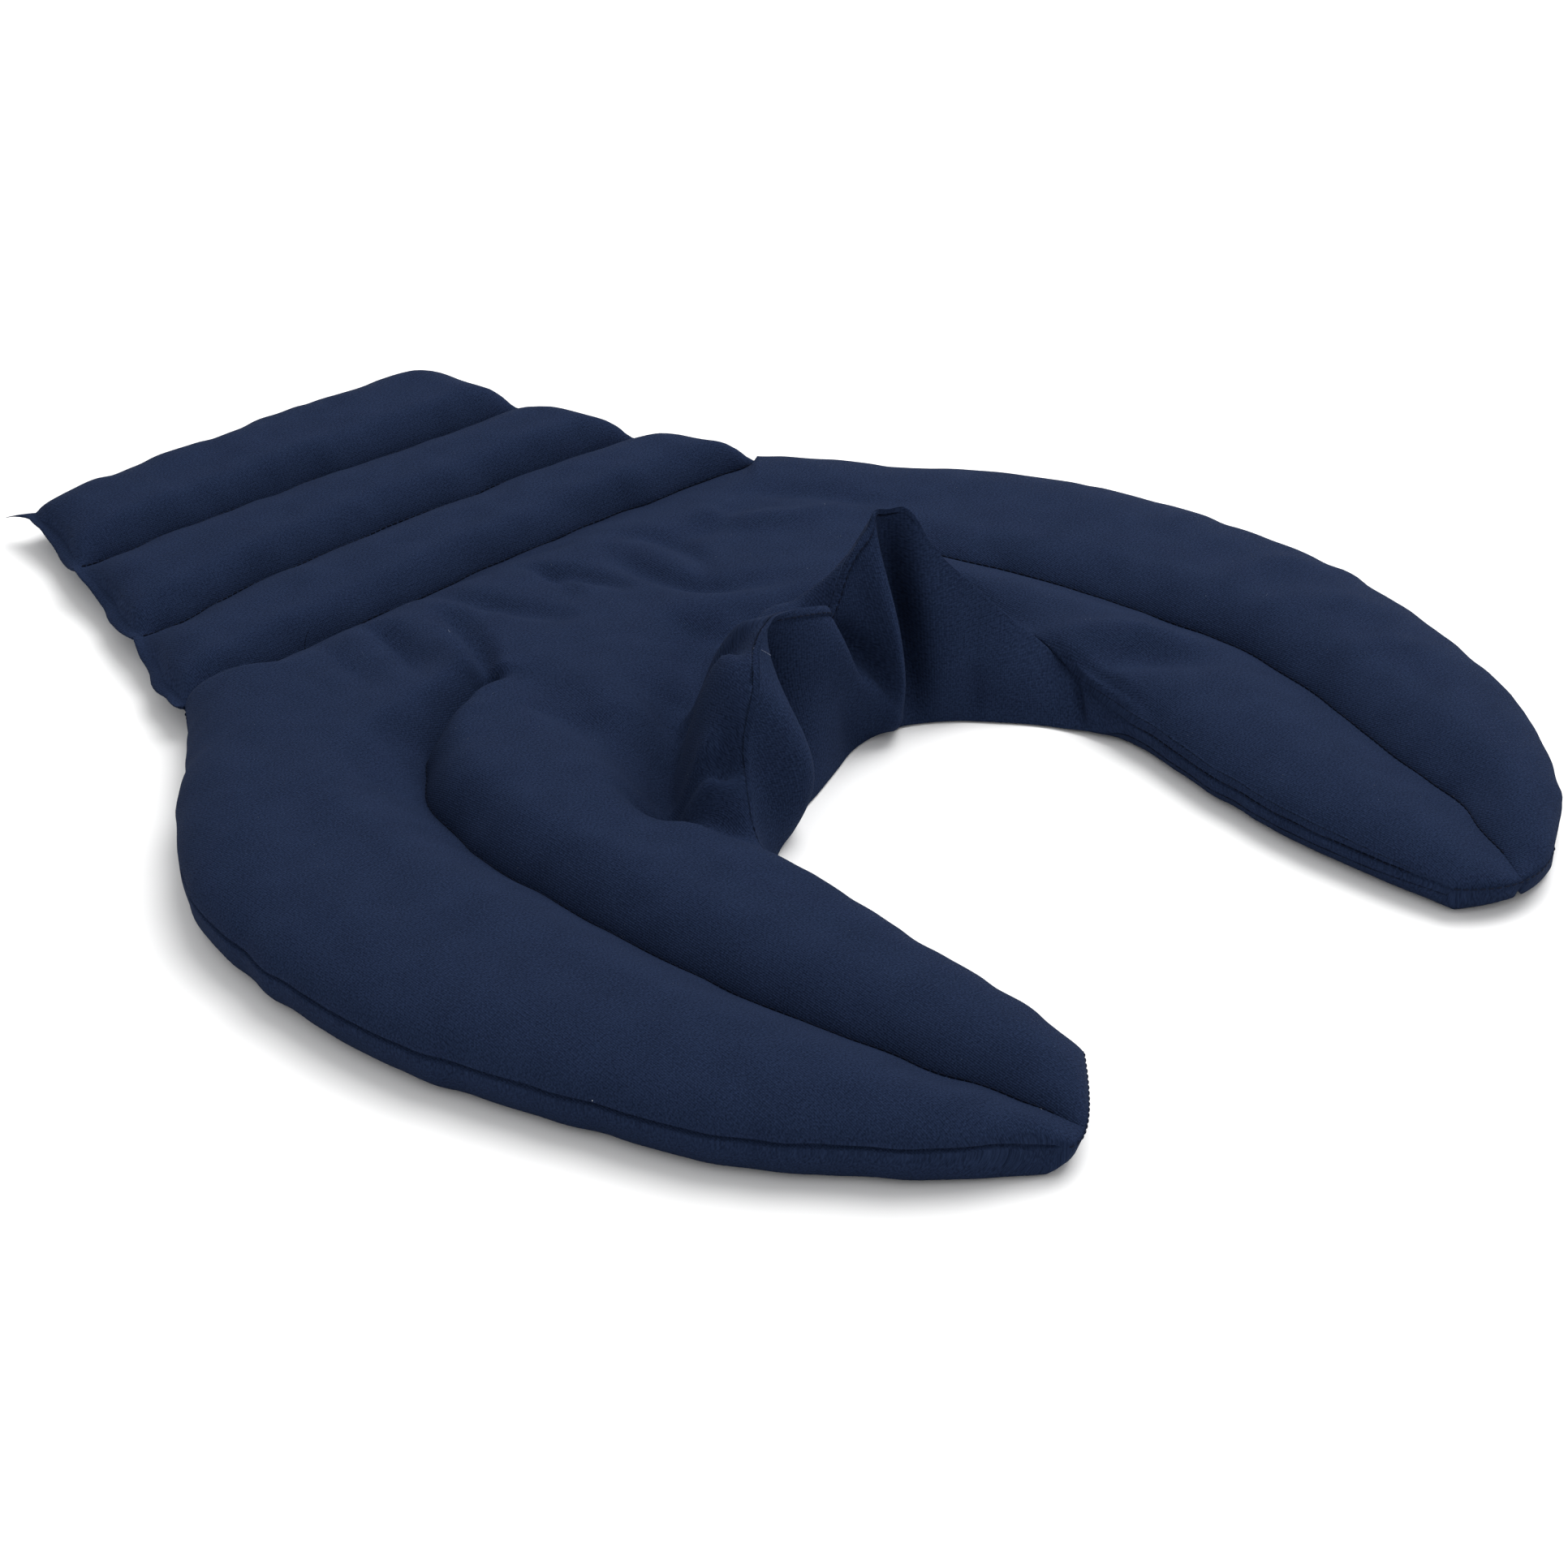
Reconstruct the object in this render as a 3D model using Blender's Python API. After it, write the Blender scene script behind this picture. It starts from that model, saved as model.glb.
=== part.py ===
# Cherry pit neck pillow: one filled cloth bag that lies on its underside.
# It has a back panel with three sewn rolls, a yoke, two crescent arms that each have a
# middle seam, and a stand-up collar round the neck opening, crumpled into two peaks.
# Run with: blender --background --python part.py
# Lengths in the tables are millimetres on the laid-out pillow. X runs across it, from
# the left arm to the right one, and Y from the arm tips towards the back edge.

import bmesh
import bpy
import numpy as np

MM = 0.001
PIVOT = (0.2, 65.0)  # the middle of the outline, which becomes the origin

# Cloth and filling heights above the surface that the pillow lies on.
EDGE_Z = 12.0  # the sewn edge between the upper and the lower cloth
SEAM_Z = 7.5  # upper side of a quilting seam
SEAM_THICK = 2.0  # both cloths at a quilting seam
SIDE_ROUND = 12.0  # rounding of the lower side, from the edge to the resting face
TOP_ROUND = 36.0  # rounding of a chamber's upper side
TIP_ROUND = 45.0  # the same at the arms' tips
ROLL_ROUND = 30.0  # and on the back panel's rolls
LEVEL_BLEND = 30.0  # over which a chamber's base level passes from one seam's height to another's
TIP_BLEND = 20.0  # and at the arms' tips
CROSS_FADE = 14.0  # over which a back panel seam sinks in from the side
GROOVE = 9.0  # half width of a seam's groove in the underside
LEAST_FOOT = 0.5  # the collar's lower seam above the resting face
BELLY = 2.5  # how far the lower side swells out past the sewn edge
COLLAR_REACH = 42.0  # from the ridge back to the hollow behind the collar
COLLAR_TUCK = 11.0  # how much nearer that hollow is where the collar's outer side swells
COLLAR_HOLLOW = 7.0  # depth of that hollow, and what the swelling adds to it
SWELL_HOLLOW = 5.0
HOLLOW_WIDE = 20.0
LEAN = 1.3  # power by which the collar's outer side falls back from the ridge
FLANGE_WIDE = 8.5  # flat sewn closing strip down the left side of the back panel
FLANGE_THICK = 2.0
FLANGE_WAVE = 1.6
EAR = 5.5  # corner of that strip that sticks out at the back
EAR_FROM = 0.92  # where along the strip the corner begins
EAR_SLANT = 0.4
LIP_ENDS = 0.1  # part of a roll over which the strip's thickness closes at its ends

# Sections round the horseshoe, from the left arm's tip to the right arm's tip.
# foot: the lower cloth's inner edge. ridge: the upper cloth's inner edge, which is the
# collar's top in the middle. seam: the middle seam, or the line it would follow.
# outer: the outer edge. inner_up, outer_up: chamber heights. collar: 0 on an arm, 1 on
# the collar. swell: how full the collar's outer side is.
SECTION_COLUMNS = (
    "foot_x foot_y foot_z ridge_x ridge_y ridge_z seam_x seam_y outer_x outer_y "
    "inner_up outer_up collar swell"
).split()
SECTIONS = [
    (-78, -208, 12, -78, -208, 12, -108, -238, -125, -240, 24, 24, 0.0, 0.0),
    (-76, -187, 12, -76, -187, 12, -115, -202, -162, -216, 25, 28, 0.0, 0.0),
    (-74, -150, 12, -74, -150, 12, -127, -155, -200, -166, 26, 31, 0.0, 0.0),
    (-73, -107, 12, -73, -107, 12, -137, -105, -227, -106, 27, 32, 0.0, 0.0),
    (-71, -70, 12, -71, -70, 12, -142, -58, -244, -52, 28, 33, 0.0, 0.0),
    (-66, -45, 6, -68, -43, 14, -142, -12, -250, -3, 30, 33, 0.3, 0.6),
    (-57, -38, 1, -57, -24, 40, -141, 30, -247, 42, 31, 33, 0.8, 1.0),
    (-46, -31, 1, -45, -17, 60, -133, 66, -236, 81, 31, 33, 1.0, 1.0),
    (-35, -25, 1, -33, -5, 68, -117, 88, -212, 118, 30, 32, 1.0, 1.0),
    (-24, -19.5, 1, -22, 1, 71, -93, 100, -182, 153, 30, 31, 1.0, 0.8),
    (-12, -15, 1, -13, 3, 72, -69, 107, -157, 188, 30, 30, 1.0, 0.4),
    (6, -7.5, 1, 10, 4, 66, -42, 112, -110, 193, 29, 28, 1.0, 0.0),
    (19, -2, 1, 22, 14, 52, -10, 116, -56, 197, 28, 27, 1.0, 0.0),
    (31, 0, 1, 36, 18, 70, 20, 117, -3, 198, 27, 25, 1.0, 0.0),
    (41, -1, 1, 47, 19.5, 79, 48, 116, 49, 197, 26, 24, 1.0, 0.0),
    (50, -3.5, 1, 57, 19, 84, 72, 113, 102, 194, 26, 22, 1.0, 0.0),
    (64, -13, 1, 80, 2, 60, 93, 106, 153, 190, 26, 22, 1.0, 0.0),
    (76, -26, 1, 95, -9, 45, 113, 96, 170, 168, 26, 22, 1.0, 0.0),
    (86, -39, 1, 106, -24, 27, 131, 80, 189, 138, 26, 22, 1.0, 0.0),
    (92, -51, 2, 104, -41, 15, 144, 59, 216, 103, 26, 23, 0.7, 0.0),
    (96, -63, 6, 101, -58, 13, 157, 30, 237, 61, 26, 24, 0.2, 0.0),
    (97, -75, 12, 97, -75, 12, 168, -10, 248, 13, 26, 25, 0.0, 0.0),
    (95, -91, 12, 95, -91, 12, 174, -55, 250, -42, 26, 26, 0.0, 0.0),
    (90, -114, 12, 90, -114, 12, 170, -102, 242, -98, 26, 26, 0.0, 0.0),
    (87, -151, 12, 87, -151, 12, 156, -152, 217, -165, 25, 26, 0.0, 0.0),
    (87, -197, 12, 87, -197, 12, 140, -202, 182, -214, 24, 25, 0.0, 0.0),
    (91, -233, 12, 91, -233, 12, 114, -248, 141, -242, 22, 22, 0.0, 0.0),
]
YOKE_FIRST, YOKE_LAST = 10, 16  # the sections that end on the back panel's first seam
SEWN_TO, SEWN_FROM = 10.0, 17.2  # where the arms' middle seams end in the yoke
SEAM_FADE = 0.6  # in sections, past a seam's end

# Seams across the back panel, from the yoke to the back edge, and each roll's height.
CROSS_COLUMNS = "left_x left_y middle_y right_x right_y roll_up".split()
CROSS_SEAMS = [
    (-157, 188, 197, 153, 190, 24),
    (-134, 246, 255, 132, 250, 24),
    (-116, 314, 315, 115, 311, 24),
    (-100, 370, 367, 103, 362, 24),
]

# Pleats in the collar's inner face. at: section number. reach: millimetres into the
# neck opening, or back from it. spread: in sections. low, high: parts of the height.
PLEAT_COLUMNS = "at reach spread low high".split()
PLEATS = [
    (7.4, 15, 1.1, -0.15, 1.0),
    (9.5, -15, 0.6, 0.1, 1.15),
    (12.0, 10, 1.2, -0.1, 1.0),
    (14.9, -18, 0.55, 0.05, 1.2),
    (17.0, 4, 1.4, -0.1, 1.1),
    (19.4, -4, 0.4, 0.0, 1.0),
]

# Soft folds in the upper cloth: start, middle and end of each, its rise and half width.
FOLD_COLUMNS = "x1 y1 x2 y2 x3 y3 rise wide".split()
FOLDS = [
    (-58, 84, -58, 36, -82, -14, -5, 20),
    (-70, 158, -72, 130, -80, 108, -4, 6),
    (-88, 160, -92, 136, -96, 116, 3, 8),
    (-50, 162, -54, 136, -62, 116, 3, 7),
    (-38, 180, -32, 144, -20, 114, -3, 8),
    (62, 184, 60, 150, 76, 120, -3, 8),
    (104, 184, 128, 160, 166, 138, -3, 9),
    (116, -24, 132, -42, 150, -66, 4, 9),
    (112, -46, 122, -58, 140, -76, -5, 9),
    (20, 98, 52, 92, 78, 60, 4, 10),
]

STEPS_PER_SECTION = 3
STEPS_ACROSS = 20
STEPS_PER_ROLL = 7
WALL_STEPS = 6
FOLD_STEPS = 24
FLANGE_STEPS = np.array([[0, 0.5, 0.9, 1]])
COLLAR_FIRST, COLLAR_LAST = 3, 22  # the sections between which foot and ridge part
WELD = 0.00001


def columns(table, names):
    """The table as one array for each named column."""
    return dict(zip(names, np.array(table, float).T))


def through(values, place):
    """A smooth curve through a column of values, read at fractional row numbers."""
    last = len(values) - 1
    row = np.clip(np.floor(place).astype(int), 0, last - 1)
    part = place - row
    here, after = values[row], values[row + 1]
    before = np.where(row > 0, values[row - 1], 2 * here - after)
    beyond = np.where(row < last - 1, values[np.minimum(row + 2, last)], 2 * after - here)
    return 0.5 * (
        2 * here
        + (after - before) * part
        + (2 * before - 5 * here + 4 * after - beyond) * part**2
        + (3 * here - before - 3 * after + beyond) * part**3
    )


def quarter(x):
    """Rises from 0 at 0 to 1 at 1 as a quarter circle does."""
    return np.sqrt(1 - (1 - np.clip(x, 0, 1)) ** 2)


def ease(start, end, x):
    part = np.clip((x - start) / (end - start), 0, 1)
    return part * part * (3 - 2 * part)


def bunched(count):
    """Steps from 0 to 1 that are closer together at both ends."""
    return 0.5 - 0.5 * np.cos(np.pi * np.linspace(0, 1, count + 1))


def bend(first, middle, last, part):
    """A parabola through three points, at part 0, one half and 1."""
    return (
        first * (2 * part - 1) * (part - 1)
        + middle * 4 * part * (1 - part)
        + last * part * (2 * part - 1)
    )


CROSS = columns(CROSS_SEAMS, CROSS_COLUMNS)


def cross_seam(number, across):
    """Points along a seam of the back panel, from its left end to its right end."""
    left_x, left_y, middle_y, right_x, right_y, _ = (CROSS[c][number] for c in CROSS_COLUMNS)
    x = left_x + (right_x - left_x) * across
    return x, bend(left_y, middle_y, right_y, across)


def rails(place):
    """Every section column at the given places along the horseshoe."""
    named = columns(SECTIONS, SECTION_COLUMNS)
    rail = {name: through(values, place) for name, values in named.items()}
    left, right = place <= YOKE_FIRST, place >= YOKE_LAST
    yoke = ~left & ~right
    across = (place - YOKE_FIRST) / (YOKE_LAST - YOKE_FIRST)
    for name, on_seam in zip(("outer_x", "outer_y"), cross_seam(0, across)):
        rail[name][left] = through(named[name][: YOKE_FIRST + 1], place[left])
        rail[name][right] = through(named[name][YOKE_LAST:], place[right] - YOKE_LAST)
        rail[name][yoke] = on_seam[yoke]
    rail["across"] = np.clip(across, 0, 1)
    rail["yoke"] = yoke.astype(float)
    rail["collar"] = np.clip(rail["collar"], 0, 1)
    rail["foot_z"] = np.clip(rail["foot_z"], LEAST_FOOT, EDGE_Z)
    left_end = ease(SEWN_TO, SEWN_TO + SEAM_FADE, place)
    right_end = ease(SEWN_FROM, SEWN_FROM + SEAM_FADE, place)
    rail["sewn"] = 1 - left_end + right_end
    steps = np.hypot(np.diff(rail["seam_x"]), np.diff(rail["seam_y"]))
    run = np.concatenate([[0], np.cumsum(steps)])
    rail["to_tip"] = np.minimum(run, run[-1] - run)
    return {name: values[:, None] for name, values in rail.items()}


def folds(x, y):
    """Height that the soft folds add at each point of the upper cloth."""
    total = np.zeros_like(x)
    for row in FOLDS:
        fold = dict(zip(FOLD_COLUMNS, row))
        part = np.linspace(0, 1, FOLD_STEPS + 1)
        along_x = bend(fold["x1"], fold["x2"], fold["x3"], part)
        along_y = bend(fold["y1"], fold["y2"], fold["y3"], part)
        away = np.hypot(x[..., None] - along_x, y[..., None] - along_y)
        fade = np.sin(np.pi * (0.1 + 0.8 * part)) ** 0.7
        total += fold["rise"] * np.max(fade * np.exp(-((away / fold["wide"]) ** 2)), axis=-1)
    return total


def horseshoe(place, part):
    """Upper and lower cloth of the yoke and both arms, as grids of points."""
    rail = rails(place)
    inner = np.hypot(rail["seam_x"] - rail["ridge_x"], rail["seam_y"] - rail["ridge_y"])
    outer = np.hypot(rail["outer_x"] - rail["seam_x"], rail["outer_y"] - rail["seam_y"])
    from_ridge = 2 * part * inner
    from_outer = 2 * (1 - part) * outer
    from_seam = np.where(part < 0.5, (1 - 2 * part) * inner, (2 * part - 1) * outer)
    x = bend(rail["ridge_x"], rail["seam_x"], rail["outer_x"], part)
    y = bend(rail["ridge_y"], rail["seam_y"], rail["outer_y"], part)

    # The level that the chambers rise from: low at a seam, higher at a sewn edge.
    wide = CROSS["right_x"][0] - CROSS["left_x"][0]
    to_side = np.minimum(rail["across"], 1 - rail["across"]) * wide
    drawn = rail["yoke"] * quarter(to_side / CROSS_FADE)
    outer_z = EDGE_Z + (SEAM_Z - EDGE_Z) * drawn
    base = EDGE_Z + (SEAM_Z - EDGE_Z) * rail["sewn"] * (1 - ease(0, LEVEL_BLEND, from_seam))
    base = base + (outer_z - base) * (1 - ease(0, LEVEL_BLEND, from_outer))
    base = base + (EDGE_Z - base) * (1 - ease(0, TIP_BLEND, rail["to_tip"]))

    crown = rail["inner_up"] + (rail["outer_up"] - rail["inner_up"]) * ease(0.25, 0.75, part)
    swell = np.clip(rail["swell"], 0, 1)
    collar_reach = COLLAR_REACH - COLLAR_TUCK * swell
    hollow = COLLAR_HOLLOW + SWELL_HOLLOW * swell
    beside = np.exp(-(((from_ridge - collar_reach) / HOLLOW_WIDE) ** 2))
    crown = crown - rail["collar"] * hollow * beside
    full = quarter(from_outer / TOP_ROUND) * quarter(rail["to_tip"] / TIP_ROUND)
    full = full * (1 - (1 - rail["collar"]) * (1 - quarter(from_ridge / TOP_ROUND)))
    full = full * (1 - rail["sewn"] * (1 - quarter(from_seam / TOP_ROUND)))
    z = base + (crown - base + folds(x, y)) * full

    # The collar stands up from the upper cloth's inner edge.
    reach = np.clip(from_ridge / collar_reach, 0, 1)
    leaning, swollen = (1 - reach) ** LEAN, (1 - reach**3) ** 0.6
    lift = leaning + (swollen - leaning) * swell
    z = z + (rail["ridge_z"] - z[:, :1]) * lift
    upper = np.dstack([x, y, z])

    # The lower cloth rounds under to the resting face and dips into the seams.
    x = bend(rail["foot_x"], rail["seam_x"], rail["outer_x"], part)
    y = bend(rail["foot_y"], rail["seam_y"], rail["outer_y"], part)
    lower_inner = np.hypot(rail["seam_x"] - rail["foot_x"], rail["seam_y"] - rail["foot_y"])
    from_foot = 2 * part * lower_inner
    blunt = BELLY * quarter(rail["to_tip"] / SIDE_ROUND)
    belly = blunt * (1 - rail["yoke"]) * np.sin(np.pi * np.clip(from_outer / SIDE_ROUND, 0, 1))
    x = x + belly * (rail["outer_x"] - rail["seam_x"]) / outer
    y = y + belly * (rail["outer_y"] - rail["seam_y"]) / outer
    belly = blunt * np.sin(np.pi * np.clip(from_foot / SIDE_ROUND, 0, 1))
    x = x + belly * (rail["foot_x"] - rail["seam_x"]) / inner
    y = y + belly * (rail["foot_y"] - rail["seam_y"]) / inner
    at_foot = rail["foot_z"] * (1 - quarter(from_foot / SIDE_ROUND))
    at_outer = (1 - rail["yoke"]) * EDGE_Z * (1 - quarter(from_outer / SIDE_ROUND))
    at_tip = EDGE_Z * (1 - quarter(rail["to_tip"] / SIDE_ROUND))
    under_seam = rail["sewn"] * (SEAM_Z - SEAM_THICK) * np.clip(1 - from_seam / GROOVE, 0, 1) ** 2
    under_cross = EDGE_Z + (SEAM_Z - SEAM_THICK - EDGE_Z) * drawn
    under_cross = rail["yoke"] * under_cross * np.clip(1 - from_outer / GROOVE, 0, 1) ** 2
    z = np.maximum.reduce(np.broadcast_arrays(at_foot, at_outer, at_tip, under_seam, under_cross))
    lower = np.dstack([x, y, z])
    return upper, lower


def collar_face(place, height):
    """The collar's inner face, from its foot up to its ridge."""
    rail = rails(place)
    x = rail["foot_x"] + (rail["ridge_x"] - rail["foot_x"]) * height
    y = rail["foot_y"] + (rail["ridge_y"] - rail["foot_y"]) * height
    z = rail["foot_z"] + (rail["ridge_z"] - rail["foot_z"]) * height
    run_x = np.gradient(rail["foot_x"], axis=0)
    run_y = np.gradient(rail["foot_y"], axis=0)
    long = np.hypot(run_x, run_y)
    offset = np.zeros_like(x)
    for row in PLEATS:
        pleat = dict(zip(PLEAT_COLUMNS, row))
        share = np.clip((height - pleat["low"]) / (pleat["high"] - pleat["low"]), 0, 1)
        beside = np.exp(-(((place[:, None] - pleat["at"]) / pleat["spread"]) ** 2))
        offset += pleat["reach"] * beside * np.sin(np.pi * share) ** 0.8
    offset = offset * rail["collar"] * np.sin(np.pi * height) ** 0.5
    return np.dstack([x + offset * run_y / long, y - offset * run_x / long, z])


def back_panel(across, steps):
    """Upper and lower cloth of the three rolls, as grids of points."""
    upper, lower = [], []
    across = across[:, None]
    for roll in range(len(CROSS_SEAMS) - 1):
        part = (steps if roll == 0 else steps[1:])[None, :]
        (x1, y1), (x2, y2) = cross_seam(roll, across), cross_seam(roll + 1, across)
        x, y = x1 + (x2 - x1) * part, y1 + (y2 - y1) * part
        long = np.hypot(x2 - x1, y2 - y1)
        before, after = part * long, (1 - part) * long
        wide = x[-1:] - x[:1]
        to_side = np.minimum(across, 1 - across) * wide
        drawn = quarter(to_side / CROSS_FADE)
        seam = EDGE_Z + (SEAM_Z - EDGE_Z) * drawn
        last_roll = roll == len(CROSS_SEAMS) - 2
        base = seam + (EDGE_Z - seam) * ease(0.5, 1, part) * last_roll
        crown = CROSS["roll_up"][roll]
        full = quarter(before / ROLL_ROUND) * quarter(after / ROLL_ROUND) * quarter(to_side / ROLL_ROUND)
        lip = FLANGE_THICK / 2 * np.clip(1 - across * wide / SIDE_ROUND, 0, 1) ** 2
        if roll == 0:
            lip = lip * quarter(part / LIP_ENDS)
        if last_roll:
            lip = lip * quarter((1 - part) / LIP_ENDS)
        upper.append(np.dstack([x, y, base + (crown - base) * full + lip]))
        under = EDGE_Z + (SEAM_Z - SEAM_THICK - EDGE_Z) * drawn
        at_before = under * np.clip(1 - before / GROOVE, 0, 1) ** 2
        at_after = under * np.clip(1 - after / GROOVE, 0, 1) ** 2
        if last_roll:
            at_after = EDGE_Z * (1 - quarter(after / SIDE_ROUND))
        at_side = EDGE_Z * (1 - quarter(to_side / SIDE_ROUND))
        z = np.maximum.reduce(np.broadcast_arrays(at_before, at_after, at_side))
        lower.append(np.dstack([x, y, z - lip]))
    return np.concatenate(upper, axis=1), np.concatenate(lower, axis=1)


def closing_flange(upper_side, lower_side, out):
    """The flat strip outside the back panel's left side, from the yoke to the ear."""
    part = np.linspace(0, 1, len(upper_side))[:, None]
    run = np.gradient(upper_side[:, :2], axis=0)
    run = run / np.linalg.norm(run, axis=1, keepdims=True)
    width = FLANGE_WIDE * quarter(part / 0.05) * (1 + 0.15 * np.sin(part * 17))
    corner = ease(EAR_FROM, 1, part)
    width = width + EAR * corner
    out = np.where(part == 1, np.minimum(out / FLANGE_STEPS[0, -2], 1), out)
    slant = EAR_SLANT * corner
    x = upper_side[:, :1] + (run[:, :1] * slant - run[:, 1:]) * width * out
    y = upper_side[:, 1:2] + (run[:, 1:] * slant + run[:, :1]) * width * out
    wave = (FLANGE_WAVE * np.sin(part * 21 + 1) - 2 * corner) * out**1.5
    middle = (upper_side[:, 2:3] + lower_side[:, 2:3]) / 2 + wave
    half = (upper_side[:, 2:3] - lower_side[:, 2:3]) / 2 * (1 - out**6)
    return np.dstack([x, y, middle + half]), np.dstack([x, y, middle - half])


def add_patch(mesh, points):
    """Adds a grid to the mesh and moves its points to the given places."""
    rows, across = points.shape[:2]
    grid = bmesh.ops.create_grid(mesh, x_segments=across - 1, y_segments=rows - 1, size=1)
    for vertex, (x, y, z) in zip(grid["verts"], points.reshape(-1, 3)):
        vertex.co = ((x - PIVOT[0]) * MM, (y - PIVOT[1]) * MM, z * MM)


def pillow_mesh():
    """The whole bag as one closed surface."""
    last = len(SECTIONS) - 1
    place = np.linspace(0, last, last * STEPS_PER_SECTION + 1)
    half = bunched(STEPS_ACROSS // 2) / 2
    upper, lower = horseshoe(place, np.concatenate([half, 0.5 + half[1:]])[None, :])
    collar = (place >= COLLAR_FIRST) & (place <= COLLAR_LAST)
    face = collar_face(place[collar], np.linspace(0, 1, WALL_STEPS + 1)[None, :])
    on_seam = place[(place >= YOKE_FIRST) & (place <= YOKE_LAST)]
    across = (on_seam - YOKE_FIRST) / (YOKE_LAST - YOKE_FIRST)
    back_upper, back_lower = back_panel(across, bunched(STEPS_PER_ROLL))
    flange = closing_flange(back_upper[0], back_lower[0], FLANGE_STEPS)

    mesh = bmesh.new()
    for points in (upper, lower, face, back_upper, back_lower, *flange):
        add_patch(mesh, points)
    bmesh.ops.remove_doubles(mesh, verts=mesh.verts, dist=WELD)
    bmesh.ops.dissolve_degenerate(mesh, edges=mesh.edges, dist=WELD)
    bmesh.ops.triangulate(mesh, faces=mesh.faces)
    bmesh.ops.recalc_face_normals(mesh, faces=mesh.faces)
    return mesh


def navy_cotton():
    """Matt dark blue cotton twill."""
    cotton = bpy.data.materials.new("navy_cotton")
    cotton.use_nodes = True
    shader = cotton.node_tree.nodes["Principled BSDF"]
    shader.inputs["Base Color"].default_value = (0.018, 0.026, 0.065, 1)
    shader.inputs["Roughness"].default_value = 0.9
    shader.inputs["Metallic"].default_value = 0
    return cotton


def clear_scene():
    for thing in list(bpy.data.objects):
        bpy.data.objects.remove(thing)


def main():
    clear_scene()
    data = bpy.data.meshes.new("pillow")
    mesh = pillow_mesh()
    mesh.to_mesh(data)
    mesh.free()
    data.shade_smooth()
    data.materials.append(navy_cotton())
    pillow = bpy.data.objects.new("pillow", data)
    parts = bpy.data.collections.new("cherry_pit_neck_pillow")
    bpy.context.scene.collection.children.link(parts)
    parts.objects.link(pillow)


main()
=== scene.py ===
import math

import bpy
import numpy as np
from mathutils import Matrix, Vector


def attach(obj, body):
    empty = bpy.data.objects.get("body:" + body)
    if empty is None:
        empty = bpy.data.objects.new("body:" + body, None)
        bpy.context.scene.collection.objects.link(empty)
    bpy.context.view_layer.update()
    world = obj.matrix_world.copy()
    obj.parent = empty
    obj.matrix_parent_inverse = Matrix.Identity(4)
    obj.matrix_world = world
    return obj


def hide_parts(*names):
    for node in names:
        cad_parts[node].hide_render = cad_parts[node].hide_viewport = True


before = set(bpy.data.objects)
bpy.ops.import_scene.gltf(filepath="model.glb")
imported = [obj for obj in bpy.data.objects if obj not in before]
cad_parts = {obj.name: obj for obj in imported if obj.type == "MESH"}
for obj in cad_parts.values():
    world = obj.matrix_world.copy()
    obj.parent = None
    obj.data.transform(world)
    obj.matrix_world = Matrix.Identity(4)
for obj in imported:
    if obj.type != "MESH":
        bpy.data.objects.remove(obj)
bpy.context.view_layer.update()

print("frame loaded")

# Lengths are millimetres on the laid-out pillow: X across it, Y from the arm tips to the back edge, Z up.
mm = 0.001
pivot = np.array([0.2, 65.0, 0.0])
white = (1, 1, 1, 1)

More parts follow.
